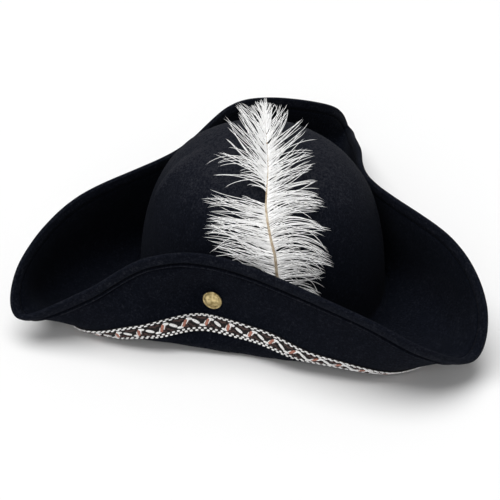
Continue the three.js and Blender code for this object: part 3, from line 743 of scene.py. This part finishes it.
brass_material = new_material("antiqued_brass")
lay = add_node(brass_material, "TexCoord").outputs["Object"]
patina = add_node(brass_material, "TexNoise",
                  {"Scale": speck_scale(PATINA_PATCH), "Detail": 5.0, "Roughness": 0.65}, {"Vector": lay})
brushed = add_node(brass_material, "TexNoise", {"Scale": speck_scale(BRUSH_MARK), "Detail": 2.0},
                   {"Vector": lay})
colour = add_node(brass_material, "ValToRGB", None, {"Fac": patina.outputs["Fac"]},
                  [(0.35, "#8a774a"), (0.62, "#dcc894")])
gloss = add_node(brass_material, "MapRange",
                 {"From Min": 0.3, "From Max": 0.7, "To Min": 0.5, "To Max": 0.28},
                 {"Value": patina.outputs["Fac"]})
bump = add_node(brass_material, "Bump", {"Strength": 0.25, "Distance": BRUSH_DEPTH * MM},
                {"Height": brushed.outputs["Fac"]})
add_node(brass_material, SURFACE, {"Metallic": 1.0},
         {"Base Color": colour.outputs["Color"], "Roughness": gloss.outputs["Result"],
          "Normal": bump.outputs["Normal"]})

# Distances from the axis and along it: the washer's from the crown's middle, the cap's from its own underside
cap = STUD_DIAMETER / 2
dome_inset, dome_foot = RIM_ROWS[-1]
dome_rise = STUD_RIM + STUD_DOME - dome_foot
back_profile = [(WASHER_RADIUS, -FELT / 2 - WASHER), (WASHER_RADIUS, -FELT / 2), (POST_RADIUS, -FELT / 2)]
cap_profile = [(POST_RADIUS, 0.0)] + [(cap - inset, height) for inset, height in RIM_ROWS]
cap_profile += [((cap - dome_inset) * math.cos(angle), dome_foot + dome_rise * math.sin(angle))
                for angle in np.radians(DOME_ANGLES)]


def on_wall(azimuth, height):
    return place(crown_radius(azimuth, height), azimuth, height)


def stud_axes(out):
    sideways = unit(np.cross([0, 0, 1.0], out))
    return out, sideways, np.cross(out, sideways)


around = 2 * math.pi * np.arange(STUD_SIDES)[:, None] / STUD_SIDES
for node, azimuth in zip(("stud_left", "stud_rear", "stud_right"), STUD_AZIMUTHS):
    point = on_wall(azimuth, STUD_HEIGHT)
    beside, above = on_wall(azimuth + TINY, STUD_HEIGHT), on_wall(azimuth, STUD_HEIGHT + TINY)
    back_axes = cap_axes = stud_axes(unit(np.cross(beside - point, above - point)))
    seat = STUD_SEAT
    if node == "stud_right":
        seat += SKEW_SEAT
        out, sideways, _ = back_axes
        turned, nodded = math.tan(math.radians(SKEW_TURN)), math.tan(math.radians(SKEW_NOD))
        cap_axes = stud_axes(unit(out + sideways * turned - np.array([0, 0, nodded])))
    stud_rings = []
    for profile, start, axes in ((back_profile, 0, back_axes), (cap_profile, seat, cap_axes)):
        for radius, height in profile:
            ring = radius * (np.cos(around) * axes[1] + np.sin(around) * axes[2])
            stud_rings.append(point + axes[0] * (start + height) + ring)
    washer_middle = point + back_axes[0] * back_profile[0][1]
    dome_middle = point + cap_axes[0] * (seat + STUD_RIM + STUD_DOME)
    points = np.concatenate([[washer_middle], *stud_rings, [dome_middle]])
    faces = ring_faces(len(stud_rings), STUD_SIDES, 1)[:, ::-1].tolist()
    faces += [(0, 1 + (k + 1) % STUD_SIDES, 1 + k) for k in range(STUD_SIDES)]
    end = len(points) - 1 - STUD_SIDES
    faces += [(len(points) - 1, end + k, end + (k + 1) % STUD_SIDES) for k in range(STUD_SIDES)]
    stud = mesh_piece("brass_" + node, points, faces, brass_material)
    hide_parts(node)

# Plume
# A bleached ostrich feather, tucked between the right flap and the crown: a beige quill that tapers to
# nothing, and soft white barbs in loose locks, which arch out and droop at their ends.
PLUME_AZIMUTH = 311
PLUME_FREE = 80
PLUME_DROOP = 32
QUILL = 2.6
QUILL_TIP = 0.5
QUILL_FLATNESS = 0.85
QUILL_TAPER_POWER = 0.8
QUILL_RINGS = 90
QUILL_SIDES = 10
FREE_POINTS = 3
STEPS_BETWEEN = 24
# Up the crown's wall: the crown's angle, and the quill's distance from the felt as a share of ROLL_RADIUS
CLIMB = [(12, 0), (22, 0), (32, 0.3), (43, 0.3), (54, 0.05)]
# How far the quill sways sideways: mm up the quill, mm aside
SWAY = [
    (0, 11.5), (20, 10.4), (37, 8.2), (48, 5.0), (60, 2.2), (72, 0.5), (98, 1.2), (112, 0.8), (124, -0.4),
    (151, -2.5),
]
LOOK_ALONG = 1.5  # mm to each side of a point on the quill, to find its direction there

outward = place(1.0, PLUME_AZIMUTH, 0.0)
aside = place(1.0, PLUME_AZIMUTH + 90, 0.0)
quill_points = []
for angle, off in CLIMB:
    along = unit(crown_point(PLUME_AZIMUTH, angle + 1) - crown_point(PLUME_AZIMUTH, angle - 1))
    normal = unit(outward - along * (outward @ along))
    clear = FELT / 2 + SEAT_GAP + QUILL / 2 + off * ROLL_RADIUS
    quill_points.append(crown_point(PLUME_AZIMUTH, angle) + normal * clear)
climb = quill_points[-1] - quill_points[-2]
slope = math.atan2(climb[2], -(climb @ outward))
for i in range(FREE_POINTS):
    bend = slope - math.radians(PLUME_DROOP) * (i + 0.5) / FREE_POINTS
    step = outward * -math.cos(bend) + np.array([0, 0, math.sin(bend)])
    quill_points.append(quill_points[-1] + step * PLUME_FREE / FREE_POINTS)
before, after = 2 * quill_points[0] - quill_points[1], 2 * quill_points[-1] - quill_points[-2]
ends = [before, *quill_points, after]
quill_line = [between(*ends[i:i + 4], k / STEPS_BETWEEN)
              for i in range(len(ends) - 3) for k in range(STEPS_BETWEEN)]
quill_line = np.array(quill_line + [quill_points[-1]])
climbed = line_lengths(quill_line)
quill_line = quill_line + aside * np.interp(climbed, *zip(*SWAY))[:, None]
quill_length = climbed[-1]


def on_quill(s):
    """The quill's points and directions at lengths from its lower end."""
    ahead = on_line(np.minimum(s + LOOK_ALONG, quill_length), climbed, quill_line)
    behind = on_line(np.maximum(s - LOOK_ALONG, 0), climbed, quill_line)
    return on_line(s, climbed, quill_line), unit(ahead - behind)


# Quill horn: scraped clean, half glossy and beige, with a faint grain 2.4 mm across
QUILL_GRAIN = 2.381

quill_material = new_material("pale_quill_horn")
lay = add_node(quill_material, "TexCoord").outputs["Object"]
grain = add_node(quill_material, "TexNoise", {"Scale": speck_scale(QUILL_GRAIN), "Detail": 3.0},
                 {"Vector": lay})
colour = add_node(quill_material, "ValToRGB", None, {"Fac": grain.outputs["Fac"]},
                  [(0.3, "#9c8468"), (0.7, "#d8cbb4")])
add_node(quill_material, SURFACE, {"Roughness": 0.42}, {"Base Color": colour.outputs["Color"]})

quill_rings = []
quill_angles = 2 * math.pi * np.arange(QUILL_SIDES)[:, None] / QUILL_SIDES
for s in np.linspace(0, quill_length, QUILL_RINGS):
    centre, along = on_quill(s)
    side = unit(aside - along * (aside @ along))
    front = QUILL_FLATNESS * np.cross(side, along)
    radius = (QUILL + (QUILL_TIP - QUILL) * (s / quill_length) ** QUILL_TAPER_POWER) / 2
    quill_rings.append(centre + radius * (np.cos(quill_angles) * side + np.sin(quill_angles) * front))
quill_end = QUILL_RINGS * QUILL_SIDES - 1
quill_faces = ring_faces(QUILL_RINGS, QUILL_SIDES).tolist()
quill_faces += [list(range(QUILL_SIDES)), list(range(quill_end, quill_end - QUILL_SIDES, -1))]
quill = mesh_piece("plume_quill", quill_rings, quill_faces, quill_material)
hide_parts("ostrich_plume")

# Plume barbs
# Soft white barbs grow from both sides of the quill and hang together in loose, pointed locks, with shorter
# down close to the quill. Each is a thin blade that tapers to a point.

# Rows up the quill: mm from its lower end, a barb's length, and the angles from the quill at which it leaves
# and at which it ends
NEAR_ROWS = [
    (8, 38, 80, 150), (20, 40, 70, 140), (32, 42, 62, 132), (46, 42, 60, 128), (60, 42, 60, 120),
    (72, 42, 58, 104), (84, 39, 64, 78), (98, 37, 66, 48), (112, 38, 56, 22), (124, 33, 42, 14),
    (138, 22, 22, 6), (150, 13, 8, 2),
]
FAR_ROWS = [
    (22, 42, 62, 78), (34, 48, 68, 84), (46, 48, 72, 92), (56, 45, 74, 88), (66, 44, 80, 80),
    (73, 44, 86, 74), (82, 42, 52, 92), (91, 46, 46, 72), (100, 46, 44, 54), (114, 46, 40, 36),
    (124, 38, 32, 28), (138, 25, 18, 12), (150, 13, 4, 6),
]
BARE = (74.0, 81.5)  # mm up the quill, where the far side has a gap between its locks
NEAR_LOCKS = 42
FAR_LOCKS = 35
BARBS_IN_LOCK = 6
THINNER_FROM, THINNER_BY = 84, 2  # mm up the quill, and barbs in a lock
DOWN_IN_LOCK = 5  # short barbs close to the quill
LOOSE = 0.24  # share of barbs that stray from their lock
BARB_STEPS = 12
BARB_WIDTH = 0.8
BARB_TAPER, BARB_TAPER_POWER = 0.68, 0.8
BARB_DEPTH = 1.1  # of half its width
BARB_CURVE = 1.2
BARB_SINK = 1.9  # how far a barb's lift has turned to a droop at its end
GATHER_POWER = 1.4
ODD_SIZE_LOOSENS = 0.5
TOP_LOCK, TOP_LIMIT = 0.5, 0.2  # mm below the quill's tip: the last lock, and how high chance may move one
# Values up the quill, as mm up it and what they are there
START_OUT = ((60, 95), (-0.4, 0.7))
START_ASIDE = ((20, 110), (1.0, 0.3))
LIFT = ((20, 60, 110), (0.08, 0.28, 0.34))
UNRULY = ((20, 60), (0.03, 0.15))
ROOM_BEHIND_FLAP = ((52, 64, 78), (1.5, 4.0, 60.0))  # mm up the hat, and mm clear of the crown's wall
# Chance: a spread round the middle value, in mm or degrees, or the least and the most of a share or of mm
LOCK_SPREAD = 1.4
LOCK_SIZE = (0.86, 1.08)
LOCK_LEAVE = 4
LOCK_END = 16
GATHER = (0.6, 0.98)
BARB_SPREAD = 2.8
BARB_SIZE = (0.68, 1.12)
DOWN_SIZE = (0.25, 0.5)
BARB_LEAVE = 7
BARB_END = 10
STRAY_END = 32
WAVER = (0.2, 0.9)
WAVER_TURNS = (4, 9)
WAVER_START = (0, 6)
chance = np.random.default_rng(11)

# Bleached barbs: near white and matt, with soft patches 3.8 mm across. Light passes through down, so a
# little sheen stands for it, and a faint white glow is painted light that lifts the barbs out of the shade
# that they cast on each other.
DOWN_PATCH = 3.846

barb_material = new_material("bleached_ostrich_barbs")
lay = add_node(barb_material, "TexCoord").outputs["Object"]
down = add_node(barb_material, "TexNoise", {"Scale": speck_scale(DOWN_PATCH), "Detail": 3.0},
                {"Vector": lay})
colour = add_node(barb_material, "ValToRGB", None, {"Fac": down.outputs["Fac"]},
                  [(0.3, "#f1f0ee"), (0.6, "#ffffff")])
add_node(barb_material, SURFACE,
         {"Roughness": 0.6, "Sheen Weight": 0.4, "Sheen Roughness": 0.4, "Emission Color": linear("#ffffff"),
          "Emission Strength": 0.1}, {"Base Color": colour.outputs["Color"]})


def barb_line(s, size, leave_at, end_at, lift, side):
    """A barb's middle line: it leaves the quill at one angle and bends to another, and sinks to the crown."""
    start, up = on_quill(s)
    out = np.cross(aside, up)
    line = [start + out * np.interp(s, *START_OUT) + aside * side * np.interp(s, *START_ASIDE)]
    for k in range(BARB_STEPS):
        u = (k + 0.5) / BARB_STEPS
        angle = math.radians(leave_at + (end_at - leave_at) * u ** BARB_CURVE)
        step = up * math.cos(angle) + aside * side * math.sin(angle) + out * (lift * (1 - BARB_SINK * u))
        line.append(line[-1] + unit(step) * size / BARB_STEPS)
    return np.array(line), out


def press_in(line):
    """Keeps a barb behind the flap, where the felt presses it to the crown's wall."""
    around = np.degrees(np.arctan2(line[:, 0], -line[:, 1]))
    reach = np.hypot(line[:, 0], line[:, 1])
    wall = crown_radius(around, line[:, 2]) + FELT / 2
    kept = np.minimum(reach, wall + np.interp(line[:, 2], *ROOM_BEHIND_FLAP)) / reach
    return line * np.stack([kept, kept, np.ones(len(line))], -1)


def blade(line, out, first):
    """A thin three-sided blade round a barb's line, with its faces counted from its first point."""
    heading = unit(np.gradient(line, axis=0))
    flat = unit(np.cross(heading, out))
    thin = np.cross(heading, flat)
    points, faces = [], []
    for k in range(BARB_STEPS):
        half = BARB_WIDTH * (1 - BARB_TAPER * (k / BARB_STEPS) ** BARB_TAPER_POWER) / 2
        points += [line[k] + flat[k] * half, line[k] - flat[k] * half, line[k] + thin[k] * half * BARB_DEPTH]
    corners = ((0, 1), (1, 2), (2, 0))
    last = first + 3 * (BARB_STEPS - 1)
    for a in range(first, last, 3):
        faces += [(a + m, a + n, a + 3 + n, a + 3 + m) for m, n in corners]
    return points + [line[-1]], faces + [(last + m, last + n, last + 3) for m, n in corners]


def barbs_on(rows_up, locks, side):
    """Barbs of one side of the quill, gathered in pointed locks."""
    at, length, leave_angle, end_angle = (np.array(column, float) for column in zip(*rows_up))
    lock_at = np.linspace(at[0], quill_length - TOP_LOCK, locks) + chance.normal(0, LOCK_SPREAD, locks)
    share = np.linspace(0, 1, BARB_STEPS + 1)[:, None]
    points, faces = [], []
    for lock in np.clip(lock_at, at[0], quill_length - TOP_LIMIT):
        if side < 0 and BARE[0] < lock < BARE[1]:
            continue
        lock_size = np.interp(lock, at, length) * chance.uniform(*LOCK_SIZE)
        lock_end = np.interp(lock, at, end_angle) + chance.normal(0, LOCK_END)
        lock_leave = np.interp(lock, at, leave_angle) + chance.normal(0, LOCK_LEAVE)
        unruly = np.interp(lock, *UNRULY)
        lift = np.interp(lock, *LIFT) + chance.normal(0, unruly)
        guide, _ = barb_line(lock, lock_size, lock_leave, lock_end, lift, side)
        gather = chance.uniform(*GATHER)
        full = BARBS_IN_LOCK if lock < THINNER_FROM else BARBS_IN_LOCK - THINNER_BY
        for i in range(full + DOWN_IN_LOCK):
            s = float(np.clip(lock + chance.normal(0, BARB_SPREAD), at[0], quill_length))
            short = i >= full
            stray = chance.uniform() < LOOSE
            size = np.interp(s, at, length) * chance.uniform(*(DOWN_SIZE if short else BARB_SIZE))
            end_at = lock_end + chance.normal(0, STRAY_END if stray else BARB_END)
            leave_at = lock_leave + chance.normal(0, BARB_LEAVE)
            line, out = barb_line(s, size, leave_at, end_at, lift + chance.normal(0, unruly), side)
            if not stray and not short:
                held = gather * (1 - ODD_SIZE_LOOSENS * abs(size / lock_size - 1))
                line = line + (guide - line) * held * share ** GATHER_POWER
            width = chance.uniform(*WAVER) * share
            waver = width * np.sin(share * chance.uniform(*WAVER_TURNS) + chance.uniform(*WAVER_START))
            line = press_in(line + waver * unit(np.cross(line[-1] - line[0], out)))
            blade_points, blade_faces = blade(line, out, len(points))
            points += blade_points
            faces += blade_faces
    return points, faces


for name, rows_up, locks, side in (("plume_barbs_near", NEAR_ROWS, NEAR_LOCKS, 1),
                                   ("plume_barbs_far", FAR_ROWS, FAR_LOCKS, -1)):
    barbs = mesh_piece(name, *barbs_on(rows_up, locks, side), barb_material)

# Floor
# A pale sheet of matt card that the hat stands on. It is 12 m across, so that its edges stay out of the
# picture on all sides.
FLOOR_HALF = 6  # m

floor_material = new_material("pale_card")
add_node(floor_material, SURFACE, {"Roughness": 0.9, "Base Color": linear("#f4f4f4")})
floor_mesh = bpy.data.meshes.new("floor")
floor_mesh.from_pydata([(x * FLOOR_HALF, y * FLOOR_HALF, 0) for x, y in ((-1, -1), (1, -1), (1, 1), (-1, 1))],
                       [], [(0, 1, 2, 3)])
floor_mesh.materials.append(floor_material)
floor = bpy.data.objects.new("floor", floor_mesh)
bpy.context.scene.collection.objects.link(floor)

# Lights
# A very wide soft light from high up behind the hat, a fill from the front, and a faint white light from all
# round, as in a photo studio. Angles are in degrees, as the camera's are.
AMBIENT = 0.25

world = bpy.data.worlds.new("studio")
world.use_nodes = True
world.node_tree.nodes["Background"].inputs["Color"].default_value = linear("#ffffff")
world.node_tree.nodes["Background"].inputs["Strength"].default_value = AMBIENT
bpy.context.scene.world = world
bpy.context.scene.view_settings.view_transform = "Standard"


def way_to(azimuth, elevation):
    """The way from the hat to something at an azimuth and an elevation in degrees."""
    a, e = math.radians(azimuth), math.radians(elevation)
    return Vector((math.sin(a) * math.cos(e), -math.cos(a) * math.cos(e), math.sin(e)))


def soft_light(name, azimuth, elevation, spread, power):
    """A distant light as wide as its spread in degrees."""
    light = bpy.data.lights.new(name, "SUN")
    light.angle = math.radians(spread)
    light.energy = power
    lamp = bpy.data.objects.new(name, light)
    lamp.location = way_to(azimuth, elevation)
    lamp.rotation_mode = "QUATERNION"
    lamp.rotation_quaternion = (-lamp.location).to_track_quat("-Z", "Y")
    bpy.context.scene.collection.objects.link(lamp)


soft_light("wide_softbox", 205, 77, 55, 2.55)
soft_light("front_fill", -62, 30, 40, 0.55)

# Camera
# At the photograph's angle, 36 degrees above the floor, with a long lens and a slight roll. It stands round
# a point under the crown's middle and looks a little above and to the left of it.
CAMERA_AZIMUTH = -49.45
CAMERA_ELEVATION = 35.62
CAMERA_ROLL = -2.21
CAMERA_DISTANCE = 1482
LENS = 138.96
SENSOR = 36
TARGET_HEIGHT = -14.0
AIM_UP = 32.8
AIM_LEFT = 9.75

back = way_to(CAMERA_AZIMUTH, CAMERA_ELEVATION)
right = way_to(CAMERA_AZIMUTH + 90, 0)
up = back.cross(right)
target = Vector((*CROWN_MIDDLE[:2], TARGET_HEIGHT))
position = target + back * CAMERA_DISTANCE
aim = target + up * AIM_UP - right * AIM_LEFT
roll = math.radians(CAMERA_ROLL)
level = right * math.cos(roll) - up * math.sin(roll)
back = (position - aim).normalized()
right = (level - back * level.dot(back)).normalized()
up = back.cross(right)
camera_data = bpy.data.cameras.new("camera")
camera_data.lens = LENS
camera_data.sensor_width = SENSOR
camera = bpy.data.objects.new("camera", camera_data)
camera.matrix_world = Matrix.Translation(position * MM) @ Matrix((right, up, back)).transposed().to_4x4()
bpy.context.scene.collection.objects.link(camera)
bpy.context.scene.camera = camera
